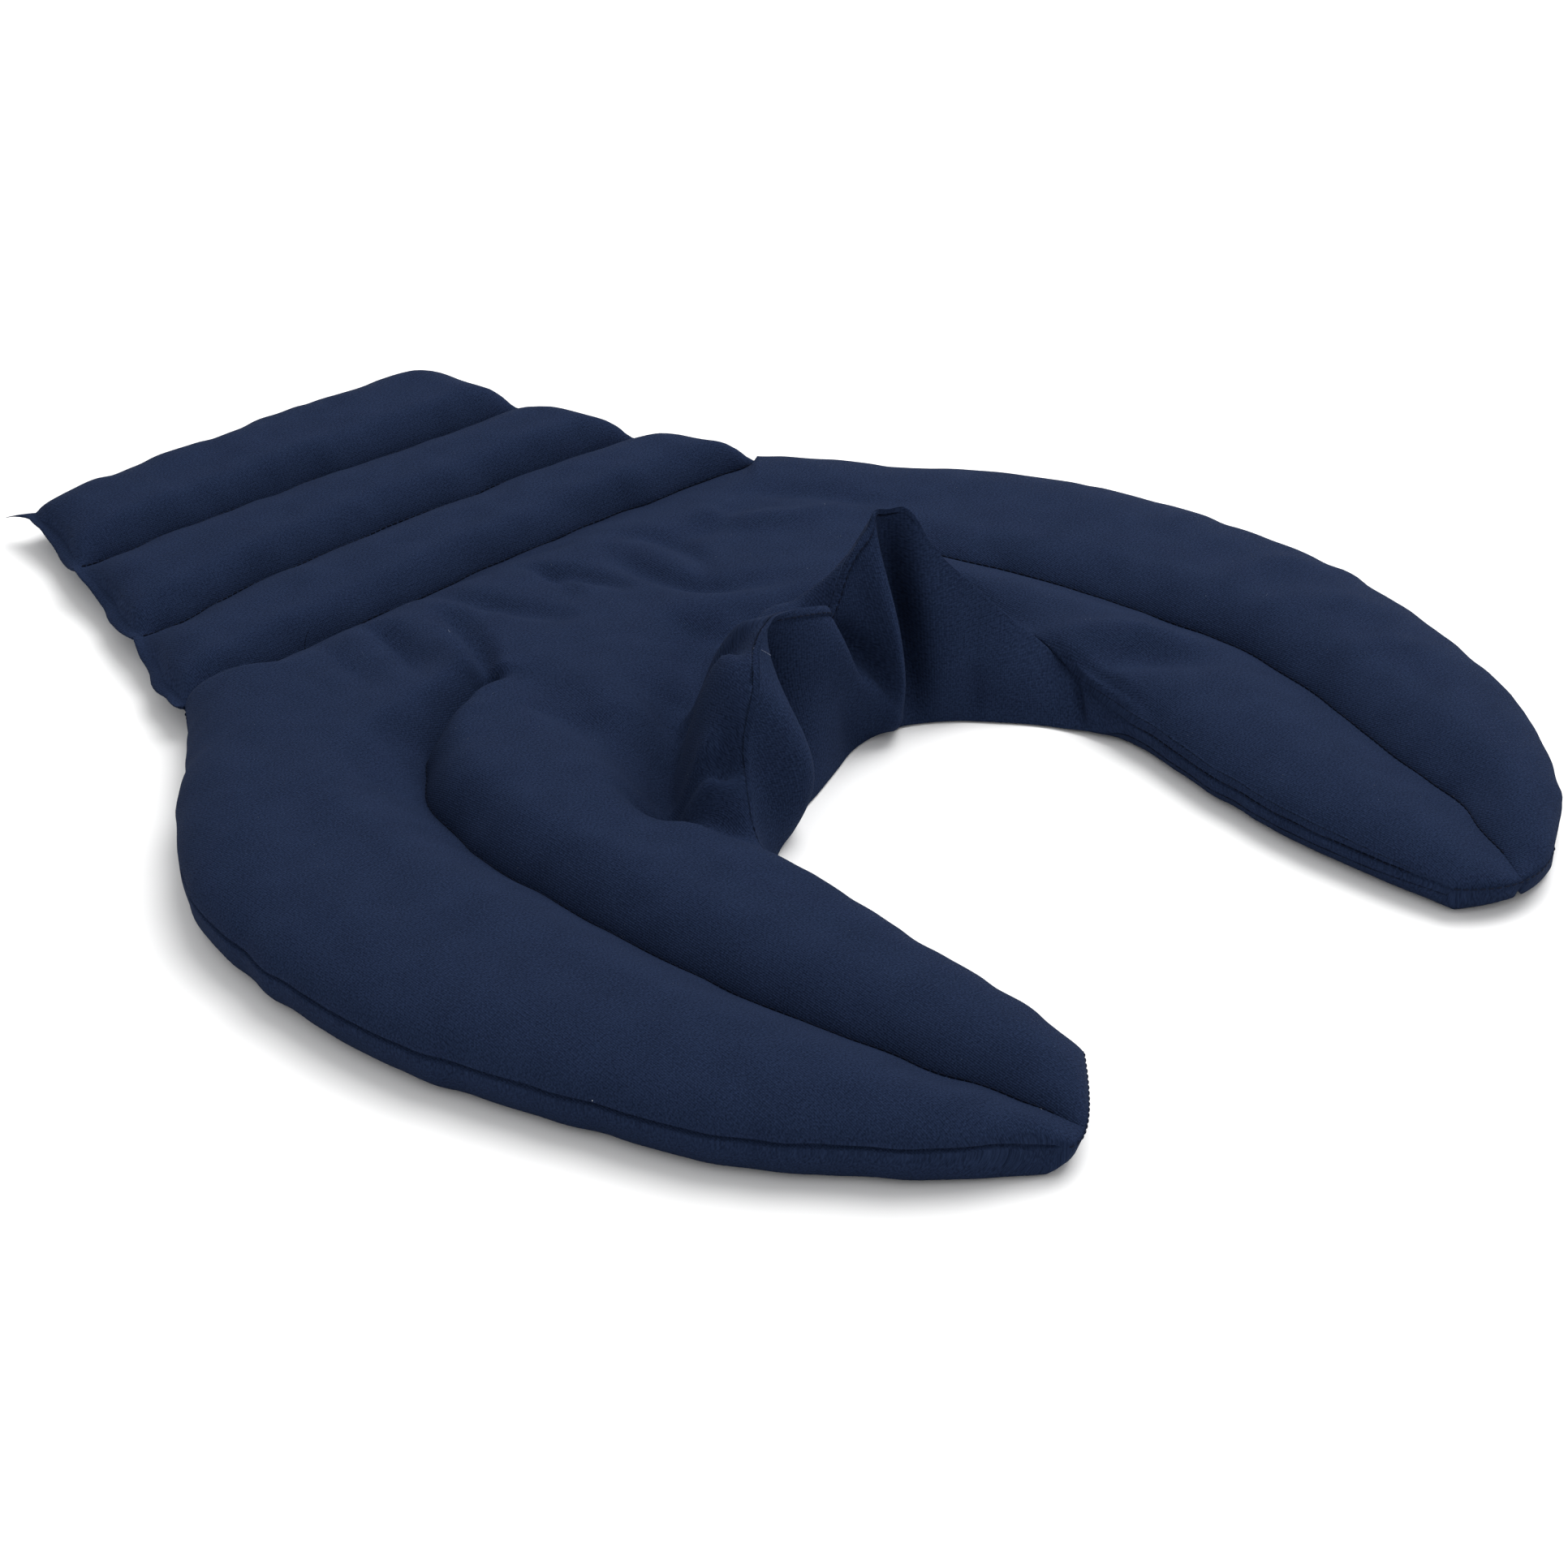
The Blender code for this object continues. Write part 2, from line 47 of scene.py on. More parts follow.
# Sections round the horseshoe, from the left arm's tip to the right one's. Each row: the lower cloth's
# inner edge, the upper cloth's inner edge (the collar's top in the middle), the middle seam, the outer
# edge, the chamber heights beside it, collar (0 on an arm, 1 on the collar), and swell of its outer side.
sectionColumns = ("footX footY footZ ridgeX ridgeY ridgeZ seamX seamY outerX outerY "
                  "innerUp outerUp collar swell").split()
sections = [
    (-78, -208, 12, -78, -208, 12, -109, -237, -123, -238, 24, 24, 0.0, 0.0),
    (-76, -187, 12, -76, -187, 12, -118, -202, -160, -213, 25, 28, 0.0, 0.0),
    (-74, -150, 12, -74, -150, 12, -130, -155, -200, -166, 26, 31, 0.0, 0.0),
    (-73, -107, 12, -73, -107, 12, -140, -105, -227, -106, 27, 32, 0.0, 0.0),
    (-71, -70, 12, -71, -70, 12, -145, -58, -244, -52, 28, 33, 0.0, 0.0),
    (-66, -45, 6, -68, -43, 14, -146, -12, -250, -3, 30, 33, 0.3, 0.6),
    (-57, -38, 1, -57, -24, 40, -145, 30, -247, 42, 31, 33, 0.8, 1.0),
    (-46, -31, 1, -45, -17, 60, -136, 66, -236, 81, 31, 33, 1.0, 1.0),
    (-35, -25, 1, -33, -5, 68, -117, 88, -212, 118, 30, 32, 1.0, 1.0),
    (-24, -19.5, 1, -22, 1, 71, -93, 100, -182, 153, 30, 31, 1.0, 0.8),
    (-12, -15, 1, -13, 3, 72, -69, 107, -157, 188, 30, 30, 1.0, 0.75),
    (6, -7.5, 1, 10, 4, 66, -42, 112, -110, 193, 29, 28, 1.0, 0.6),
    (19, -2, 1, 22, 14, 52, -10, 116, -56, 197, 28, 27, 1.0, 0.35),
    (31, 0, 1, 36, 18, 70, 20, 117, -3, 198, 27, 25, 1.0, 0.0),
    (41, -1, 1, 47, 19.5, 79, 48, 116, 49, 197, 26, 24, 1.0, 0.0),
    (50, -3.5, 1, 57, 19, 84, 72, 113, 102, 194, 26, 22, 1.0, 0.0),
    (64, -13, 1, 80, 2, 56, 93, 106, 153, 190, 26, 22, 1.0, 0.0),
    (76, -26, 1, 95, -9, 37, 113, 96, 170, 168, 26, 22, 1.0, 0.0),
    (86, -39, 1, 106, -24, 22, 131, 80, 189, 138, 26, 22, 1.0, 0.0),
    (92, -51, 2, 104, -41, 15, 142, 59, 216, 103, 26, 23, 0.7, 0.0),
    (96, -63, 6, 101, -58, 13, 154, 30, 237, 61, 26, 24, 0.2, 0.0),
    (97, -75, 12, 97, -75, 12, 165, -10, 248, 13, 26, 25, 0.0, 0.0),
    (95, -91, 12, 95, -91, 12, 171, -55, 250, -42, 26, 26, 0.0, 0.0),
    (90, -114, 12, 90, -114, 12, 167, -102, 242, -98, 26, 26, 0.0, 0.0),
    (87, -151, 12, 87, -151, 12, 153, -152, 217, -165, 25, 26, 0.0, 0.0),
    (87, -197, 12, 87, -197, 12, 138, -202, 182, -214, 24, 25, 0.0, 0.0),
    (91, -233, 12, 91, -233, 12, 114, -248, 141, -242, 22, 22, 0.0, 0.0),
]
yokeFirst, yokeLast = 10, 16  # the sections that end on the back panel's first seam
collarFirst, collarLast = 3, 22  # the sections between which foot and ridge part

# Seams across the back panel: left end, middle, right end, and the height of the roll beyond.
crossColumns = "leftX leftY middleY rightX rightY rollUp".split()
crossSeams = [
    (-157, 188, 197, 153, 190, 24),
    (-136, 246, 254, 130, 244, 24),
    (-119, 313, 312, 113, 304, 24),
    (-103, 369, 368, 104, 361, 24),
]

cloth = {
    # heights of the sewn edges and seams, cloth between a seam's stitches, lift of the left arm's edge
    "edgeZ": 12.0, "seamZ": 11.0, "armSeamZ": 13.0, "seamThick": 5.0, "leastFoot": 0.5, "edgeLift": 4.5,
    "liftFrom": (0.0, 0.6), "liftTo": (7.0, 9.5),
    # how far the cloth takes to climb to its height from edges, tips and seams
    "sideRound": 12.0, "topRound": 32.0, "tipRound": 45.0, "seamSteep": 25.0, "seamGentle": 40.0,
    "seamWidest": 0.8, "rollRound": 19.0, "rollSteep": 13.0, "rollGentle": 30.0, "yokeGentle": 44.0,
    "steepness": 0.75, "levelBlend": 30.0, "tipBlend": 20.0, "crossFade": 14.0, "crownBlend": (0.25, 0.75),
    "groove": 9.0, "belly": 1.6,
    # ends of the arms' seams as places along the sections, and the narrow crease at the left one's hook
    "sewnTo": 9.75, "sewnFrom": 17.2, "seamFade": 0.5, "seamStart": 0.55, "seamTight": 22.0,
    "hookNarrow": 0.6, "hookFrom": (7.0, 9.3), "hookTo": (15.0, 17.0),
    # the collar: how far its outer side reaches, the hollow beyond, its lean and its peak
    "collarReach": 42.0, "collarTuck": 11.0, "backReach": 14.0, "backFrom": (9.0, 10.5), "backTo": (12.3, 13.2),
    "collarHollow": 7.0, "swellHollow": 7.0, "hollowWide": 16.0, "lean": 1.3,
    "peakAt": 15.38, "peakRise": 8.0, "peakWide": 0.24,
    # the folded rim along the collar's top, with the groove under it
    "rim": 3.2, "rimThick": 0.7, "rimSoft": 0.4, "rimEdge": 0.6, "rimGroove": 0.7, "rimGrooveAt": 0.3,
    "rimGrooveWide": 0.7, "rimFrom": (9.4, 9.9), "rimTo": (15.1, 15.6), "rimTall": (10.0, 30.0),
    # the closing strip on the back panel's left side, and its ear
    "flangeWide": 4.4, "flangeThick": 2.0, "flangeWave": 1.8, "ear": 8.5, "earFrom": 0.92, "earSlant": 0.4,
    "lipEnd": 0.1, "sideWave": 2.3, "sidePitch": 14.0, "sideWaveIn": 12,
    # waver of edges and seams, gathers beside seams, grooves along sewn edges, and the cloth's unevenness
    "edgeWave": 0.9, "edgePitch": 13.0, "longWave": 0.7, "calmTip": 30.0,
    "seamWave": 1.5, "seamPitch": 19.0, "seamWaveIn": 8, "lastSeamWave": 0.3,
    "pucker": 1.9, "puckerPitch": 13.0, "puckerReach": 13.0, "puckerStart": 6.0, "puckerLong": 0.4,
    "edgeGroove": 2.0, "innerGroove": 1.0, "edgeGrooveWide": 0.7, "grooveFade": 10.0,
    "lumps": 0.30, "lumpPitch": 11.0, "slack": 0.7, "slackPitch": 42.0,
    # how fine the meshes are, and the distance within which points are one
    "perSection": 16, "across": 76, "wall": 19, "perRoll": 26, "flangeSteps": 8, "weld": 0.005,
}
seeds = {
    "slack": 5, "backSlack": 6, "lumps": 8, "backLumps": 9, "edges": 11, "armSeams": 14, "side": 17,
    "armPuckers": 21, "rollPuckers": 31, "crossSeams": 40,
}

# Pleats in the collar's inner face. at, reach into the neck opening, spread in sections, low and high as
# parts of the height, and slant: sections that the pleat moves along from foot to ridge.
pleats = [
    (7.4, 15, 1.1, -0.15, 1.0, 0.0),
    (9.5, -15, 0.6, 0.1, 1.15, 0.0),
    (12.3, 12, 0.9, -0.2, 1.05, -3.0),
    (12.9, -14, 0.36, 0.1, 1.3, -2.6),
    (13.9, 16, 0.7, -0.25, 1.05, 0.3),
    (15.1, -17, 0.3, -0.2, 1.25, -0.2),
    (15.9, 4, 0.5, -0.2, 1.1, 0.0),
    (16.45, -3, 0.2, -0.3, 0.45, 0.0),
    (17.4, 4, 1.1, -0.1, 1.1, 0.0),
    (19.15, -7, 0.16, -0.3, 1.3, -0.3),
    (19.7, 5, 0.35, -0.3, 1.2, 0.0),
]

# Folds in the upper cloth: start, middle and end of each, its rise and half width.
folds = [
    (-62, 92, -70, 38, -77, -30, -6, 12),
    (-24, 48, -53, 25, -79, -8, -8, 8),
    (-14, 38, -44, 17, -70, -14, 5, 6),
    (-86, 8, -80, -16, -74, -44, -8, 6),
    (-8, 34, 10, 33, 35, 24, 8, 7),
    (-36, 2, -31, 10, -27, 18, -8, 5),
    (-66, -20, -60, -13, -54, -4, -7, 5),
    (-75, -3, -67, -14, -61, -26, -7, 4),
    (-12, 17, 3, 18, 15, 17, -11, 6),
    (-79, 166, -82, 141, -84, 126, -2.6, 6),
    (-77, 170, -82, 149, -92, 122, -3.9, 4),
    (-49, 161, -58, 133, -74, 106, -5.2, 4),
    (-56, 127, -64, 116, -72, 106, -3.9, 3.5),
    (3, 169, 4, 155, -5, 132, -3.9, 4),
    (-64, 150, -72, 124, -86, 100, 3.2, 5),
    (-100, 178, -106, 150, -112, 130, -3.9, 6),
    (-38, 186, -32, 152, -20, 122, -4.5, 6),
    (6, 160, 13, 144, 16, 127, -3.9, 5),
    (17, 200, 19, 188, 31, 178, -3.2, 5),
    (36, 157, 34, 126, 43, 100, -5.2, 7),
    (39, 110, 52, 96, 69, 87, -3, 7),
    (49, 164, 60, 140, 50, 113, -3.9, 6),
    (66, 147, 85, 145, 110, 152, -2.6, 6),
    (89, 160, 101, 135, 129, 120, 3.2, 7),
    (115, 162, 135, 138, 153, 107, -3.2, 7),
    (20, 98, 52, 80, 78, 60, 3, 10),
    (11, 85, -14, 55, -28, 33, -3, 7),
    (-80, 79, -73, 68, -70, 52, -1.5, 5),
    (-150, 107, -149, 85, -149, 59, -1.5, 9),
    (107, -37, 104, -60, 99.5, -88, -3, 2.2),
    (116, -24, 132, -42, 150, -66, 4, 9),
    (112, -46, 122, -58, 140, -76, -5, 9),
    (176, -60, 204, -75, 220, -103, 1.6, 8),
    (176, -111, 198, -118, 200, -136, 1.6, 8),
    (187, -39, 217, -43, 232, -57, 1.6, 8),
]


def through(values, place):
    # Catmull-Rom curve through a column of values, read at fractional row numbers.
    last = len(values) - 1
    row = np.clip(np.floor(place).astype(int), 0, last - 1)
    part = place - row
    here, after = values[row], values[row + 1]
    before = np.where(row > 0, values[row - 1], 2 * here - after)
    beyond = np.where(row < last - 1, values[np.minimum(row + 2, last)], 2 * after - here)
    return 0.5 * (2 * here + (after - before) * part
                  + (2 * before - 5 * here + 4 * after - beyond) * part**2
                  + (3 * here - before - 3 * after + beyond) * part**3)


def quarter(x):
    return np.sqrt(1 - (1 - np.clip(x, 0, 1)) ** 2)  # a quarter circle, 0 at 0 and 1 at 1


def incline(x):
    return np.sin(np.pi / 2 * np.clip(x, 0, 1))  # a quarter sine, which leaves 0 at a slope


def steep(x):
    return incline(x) ** cloth["steepness"]  # between the two


def trough(away):
    return np.clip(1 - away / cloth["groove"], 0, 1) ** 2  # how the lower cloth rises to a seam


def ease(start, end, x):
    part = np.clip((x - start) / (end - start), 0, 1)
    return part * part * (3 - 2 * part)


def bell(x):
    return np.exp(-x * x)


def bunched(count):
    return 0.5 - 0.5 * np.cos(np.pi * np.linspace(0, 1, count + 1))  # closer together at both ends


def bend(first, middle, last, part):
    return first * (2 * part - 1) * (part - 1) + middle * 4 * part * (1 - part) + last * part * (2 * part - 1)


def uneven(x, y, size, seed):
    # Smooth random heights from -1 to 1: values on a lattice of that size, blended between its points.
    lattice = np.random.default_rng(seed).uniform(-1, 1, (97, 97))
    gx, gy = np.broadcast_arrays(x / size, y / size)
    ix, iy = np.floor(gx).astype(int), np.floor(gy).astype(int)
    fx, fy = gx - ix, gy - iy
    fx, fy = fx**3 * (fx * (6 * fx - 15) + 10), fy**3 * (fy * (6 * fy - 15) + 10)
    at = lambda i, j: lattice[(ix + i) % 97, (iy + j) % 97]
    near = at(0, 0) * (1 - fx) + at(1, 0) * fx
    far = at(0, 1) * (1 - fx) + at(1, 1) * fx
    return near * (1 - fy) + far * fy


cross = dict(zip(crossColumns, np.array(crossSeams, float).T))


def crossSeam(number, across):
    # A parabola through the seam's ends and middle, with the small waves of a gathered seam.
    left, right = cross["leftX"][number], cross["rightX"][number]
    x = left + (right - left) * across
    y = bend(cross["leftY"][number], cross["middleY"][number], cross["rightY"][number], across)
    fade = quarter(across * cloth["seamWaveIn"]) * quarter((1 - across) * cloth["seamWaveIn"])
    wave = cloth["seamWave"] * (1 if number < len(crossSeams) - 1 else cloth["lastSeamWave"])
    return x, y + wave * fade * uneven(x, 0 * x, cloth["seamPitch"], seeds["crossSeams"] + number)


def runAlong(x, y):
    return np.concatenate([[0], np.cumsum(np.hypot(np.diff(x), np.diff(y)))])


def rails(place):
    # The lengthwise lines at each place: the sections' columns as curves, and what is worked out from them.
    named = dict(zip(sectionColumns, np.array(sections, float).T))
    rail = {name: through(values, place) for name, values in named.items()}
    left, right = place <= yokeFirst, place >= yokeLast
    yoke = ~left & ~right
    across = (place - yokeFirst) / (yokeLast - yokeFirst)
    for name, onSeam in zip(("outerX", "outerY"), crossSeam(0, across)):
        rail[name][left] = through(named[name][: yokeFirst + 1], place[left])
        rail[name][right] = through(named[name][yokeLast:], place[right] - yokeLast)
        rail[name][yoke] = onSeam[yoke]
    rail["across"], rail["yoke"] = np.clip(across, 0, 1), yoke.astype(float)
    rail["collar"] = np.clip(rail["collar"], 0, 1)
    rail["ridgeZ"] = rail["ridgeZ"] + cloth["peakRise"] * bell((place - cloth["peakAt"]) / cloth["peakWide"])
    rail["footZ"] = np.clip(rail["footZ"], cloth["leastFoot"], cloth["edgeZ"])
    lifted = ease(*cloth["liftFrom"], place) - ease(*cloth["liftTo"], place)
    rail["edgeZ"] = cloth["edgeZ"] + cloth["edgeLift"] * lifted
    leftEnd = ease(cloth["sewnTo"], cloth["sewnTo"] + cloth["seamFade"], place)
    rightStart = ease(cloth["sewnFrom"], cloth["sewnFrom"] + cloth["seamFade"], place)
    tight = ease(cloth["sewnFrom"], cloth["seamTight"], place)
    rail["sewn"] = 1 - leftEnd + rightStart * (cloth["seamStart"] + (1 - cloth["seamStart"]) * tight)
    run = runAlong(rail["seamX"], rail["seamY"])
    rail["run"], rail["toTip"] = run, np.minimum(run, run[-1] - run)
    # The sewn edges are drawn in a little between the stitches, and the seams waver.
    calm = quarter(rail["toTip"] / cloth["calmTip"])
    rail["atYoke"] = ease(yokeFirst - 0.5, yokeFirst, place) * ease(yokeLast + 0.5, yokeLast, place)
    shares = {"outer": calm * (1 - rail["atYoke"]), "ridge": calm * (1 - rail["collar"])}
    for seed, (name, share) in enumerate(shares.items(), seeds["edges"]):
        runX, runY = np.gradient(rail[name + "X"]), np.gradient(rail[name + "Y"])
        long = np.hypot(runX, runY)
        side = runAlong(rail[name + "X"], rail[name + "Y"])
        wave = uneven(side, 0, cloth["edgePitch"], seed)
        wave = wave + cloth["longWave"] * uneven(side, 0, 3 * cloth["edgePitch"], seed + 1)
        wave = cloth["edgeWave"] * share * wave
        shiftX, shiftY = -runY / long * wave, runX / long * wave
        rail[name + "X"] += shiftX
        rail[name + "Y"] += shiftY
        if name == "ridge":
            same = 1 - rail["collar"]
            rail["footX"] += shiftX * same
            rail["footY"] += shiftY * same
    runX, runY = np.gradient(rail["seamX"]), np.gradient(rail["seamY"])
    long = np.hypot(runX, runY)
    wave = cloth["seamWave"] * calm * uneven(run, 0, cloth["seamPitch"], seeds["armSeams"])
    rail["seamX"] -= runY / long * wave
    rail["seamY"] += runX / long * wave
    return {name: values[:, None] for name, values in rail.items()}


def foldHeights(x, y):
    # Each fold is a bell across its curve, highest in the middle of its length.
    total = np.zeros_like(x)
    for x1, y1, x2, y2, x3, y3, rise, wide in folds:
        part = np.linspace(0, 1, 25)
        alongX, alongY = bend(x1, x2, x3, part), bend(y1, y2, y3, part)
        most = np.zeros_like(x)
        for px, py, p in zip(alongX, alongY, part):
            fade = math.sin(math.pi * (0.1 + 0.8 * p)) ** 0.7
            most = np.maximum(most, fade * bell(np.hypot(x - px, y - py) / wide))
        total += rise * most
    return total


def normals(points):
    along, across = np.gradient(points, axis=0), np.gradient(points, axis=1)
    normal = np.cross(across, along)
    size = np.linalg.norm(normal, axis=2, keepdims=True)
    return normal / np.maximum(size, 1e-9)


def drawIn(points, rail, away, level, most):
    # How far the cloth is drawn in beside the line where its edge is sewn.
    depth = most * bell(np.hypot(away, points[..., 2] - level) / cloth["edgeGrooveWide"])
    return depth * quarter(rail["toTip"] / cloth["grooveFade"])


def puckers(along, away, seed):
    # Short gathers that start at a seam and fade out across it.
    waves = uneven(along, away * cloth["puckerLong"], cloth["puckerPitch"], seed)
    near = np.clip(away / cloth["puckerStart"], 0, 1) * np.exp(-away / cloth["puckerReach"])
    return cloth["pucker"] * waves * near


def horseshoe(place, part):
    # Upper and lower cloth: each row runs from the inner edge over the seam to the outer edge.
    rail = rails(place)
    inner = np.hypot(rail["seamX"] - rail["ridgeX"], rail["seamY"] - rail["ridgeY"])
    outer = np.hypot(rail["outerX"] - rail["seamX"], rail["outerY"] - rail["seamY"])
    fromRidge, fromOuter = 2 * part * inner, 2 * (1 - part) * outer
    fromSeam = np.where(part < 0.5, (1 - 2 * part) * inner, (2 * part - 1) * outer)
    x = bend(rail["ridgeX"], rail["seamX"], rail["outerX"], part)
    y = bend(rail["ridgeY"], rail["seamY"], rail["outerY"], part)

    edgeZ, seamZ = cloth["edgeZ"], cloth["seamZ"]
    wide = cross["rightX"][0] - cross["leftX"][0]
    toSide = np.minimum(rail["across"], 1 - rail["across"]) * wide
    drawn = rail["yoke"] * quarter(toSide / cloth["crossFade"])
    outerZ = rail["edgeZ"] + (seamZ - rail["edgeZ"]) * drawn
    base = edgeZ + (cloth["armSeamZ"] - edgeZ) * rail["sewn"] * (1 - ease(0, cloth["levelBlend"], fromSeam))
    base = base + (outerZ - base) * (1 - ease(0, cloth["levelBlend"], fromOuter))
    tipZ = edgeZ + (rail["edgeZ"] - edgeZ) * (1 - ease(0, cloth["levelBlend"], fromOuter))
    base = base + (tipZ - base) * (1 - ease(0, cloth["tipBlend"], rail["toTip"]))

    crown = rail["innerUp"] + (rail["outerUp"] - rail["innerUp"]) * ease(*cloth["crownBlend"], part)
    swell = np.clip(rail["swell"], 0, 1)
    behind = (ease(*cloth["backFrom"], place) - ease(*cloth["backTo"], place))[:, None]
    reach = cloth["collarReach"] - cloth["collarTuck"] * swell + cloth["backReach"] * behind
    hollow = cloth["collarHollow"] + cloth["swellHollow"] * swell
    crown = crown - rail["collar"] * hollow * bell((fromRidge - reach) / cloth["hollowWide"])
    # From an arm's seam the cloth climbs gently on its left side and steeply on its right side.
    fullOuter = quarter(fromOuter / cloth["topRound"])
    full = fullOuter + (incline(fromOuter / cloth["yokeGentle"]) - fullOuter) * drawn
    full = full * quarter(rail["toTip"] / cloth["tipRound"])
    full = full * (1 - (1 - rail["collar"]) * (1 - quarter(fromRidge / cloth["topRound"])))
    leftArm = 2 * place[:, None] < len(sections) - 1
    atHook = (ease(*cloth["hookFrom"], place) - ease(*cloth["hookTo"], place))[:, None]
    narrow = 1 - cloth["hookNarrow"] * atHook
    widest = cloth["seamWidest"] * np.where(leftArm, outer, inner)
    gentleWide = np.minimum(cloth["seamGentle"], widest) * narrow
    seamRise = steep(fromSeam / (cloth["seamSteep"] * narrow))
    seamRise = np.where(leftArm == (part > 0.5), incline(fromSeam / gentleWide), seamRise)
    full = full * (1 - rail["sewn"] * (1 - seamRise))
    rise = crown - base + foldHeights(x, y)
    rise = rise + cloth["slack"] * uneven(x, y, cloth["slackPitch"], seeds["slack"])
    rise = rise + rail["sewn"] * puckers(rail["run"], fromSeam, seeds["armPuckers"] + (part > 0.5))
    z = base + rise * full

    # The collar stands up from the upper cloth's inner edge.
    share = np.clip(fromRidge / reach, 0, 1)
    leaning, swollen = (1 - share) ** cloth["lean"], 1 - ease(0.3, 1, share)
    z = z + (rail["ridgeZ"] - z[:, :1]) * (leaning + (swollen - leaning) * swell)
    upper = np.dstack([x, y, z])

    x = bend(rail["footX"], rail["seamX"], rail["outerX"], part)
    y = bend(rail["footY"], rail["seamY"], rail["outerY"], part)
    lowerInner = np.hypot(rail["seamX"] - rail["footX"], rail["seamY"] - rail["footY"])
    fromFoot = 2 * part * lowerInner
    blunt = cloth["belly"] * quarter(rail["toTip"] / cloth["sideRound"])
    belly = blunt * (1 - rail["yoke"]) * np.sin(np.pi * np.clip(fromOuter / cloth["sideRound"], 0, 1))
    x = x + belly * (rail["outerX"] - rail["seamX"]) / outer
    y = y + belly * (rail["outerY"] - rail["seamY"]) / outer
    belly = blunt * np.sin(np.pi * np.clip(fromFoot / cloth["sideRound"], 0, 1))
    x = x + belly * (rail["footX"] - rail["seamX"]) / inner
    y = y + belly * (rail["footY"] - rail["seamY"]) / inner
    under = seamZ - cloth["seamThick"]
    z = np.maximum.reduce(np.broadcast_arrays(
        rail["footZ"] * (1 - quarter(fromFoot / cloth["sideRound"])),
        (1 - rail["yoke"]) * rail["edgeZ"] * (1 - quarter(fromOuter / cloth["sideRound"])),
        edgeZ * (1 - quarter(rail["toTip"] / cloth["sideRound"])),
        rail["sewn"] * under * trough(fromSeam),
        rail["yoke"] * (edgeZ + (under - edgeZ) * drawn) * trough(fromOuter)))
    lower = np.dstack([x, y, z])

    # Both cloths are drawn in along their sewn edges, but not at the yoke's seam or on the collar.
    toSeam = np.dstack([rail["seamX"] - rail["outerX"], rail["seamY"] - rail["outerY"], 0 * outer])
    toNeck = np.dstack([rail["ridgeX"] - rail["seamX"], rail["ridgeY"] - rail["seamY"], 0 * inner])
    toSeam, toNeck = toSeam / outer[..., None], toNeck / inner[..., None]
    sewn = []
    for points, fromInner in ((upper, fromRidge), (lower, fromFoot)):
        atOuter = drawIn(points, rail, fromOuter, rail["edgeZ"], cloth["edgeGroove"]) * (1 - rail["atYoke"])
        atInner = drawIn(points, rail, fromInner, edgeZ, cloth["innerGroove"]) * (1 - rail["collar"])
        sewn.append(points + toSeam * atOuter[..., None] - toNeck * atInner[..., None])
    return sewn


def collarFace(place, height, foot, ridge):
    # The inner face from its foot to its ridge, with each pleat as a bell along it times a sine up it.
    rail = rails(place)
    points = foot[:, None] + (ridge - foot)[:, None] * height[..., None]
    runX, runY = np.gradient(rail["footX"], axis=0), np.gradient(rail["footY"], axis=0)
    long = np.hypot(runX, runY)
    offset = np.zeros(points.shape[:2])
    for at, reach, spread, low, high, slant in pleats:
        share = np.clip((height - low) / (high - low), 0, 1)
        along = place[:, None] - at - slant * (height - 0.5)
        offset += reach * bell(along / spread) * np.sin(np.pi * share) ** 0.8
    offset = offset * rail["collar"] * np.sin(np.pi * height) ** 0.5
    tall = rail["ridgeZ"] - rail["footZ"]
    below = (1 - height) * tall
    rim = cloth["rimThick"] * (1 - ease(cloth["rim"] - cloth["rimSoft"], cloth["rim"], below))
    rim = rim * ease(0, cloth["rimEdge"], below)
    underRim = below - cloth["rim"] - cloth["rimGrooveAt"]
    rim = rim - cloth["rimGroove"] * bell(underRim / cloth["rimGrooveWide"])
    rimmed = ease(*cloth["rimFrom"], place) * (1 - ease(*cloth["rimTo"], place))
    offset = offset + rim * (rimmed[:, None] * rail["collar"] * ease(*cloth["rimTall"], tall))
    points = points + np.dstack([offset * runY / long, -offset * runX / long, 0 * offset])
    points[:, 0], points[:, -1] = foot, ridge
    return points


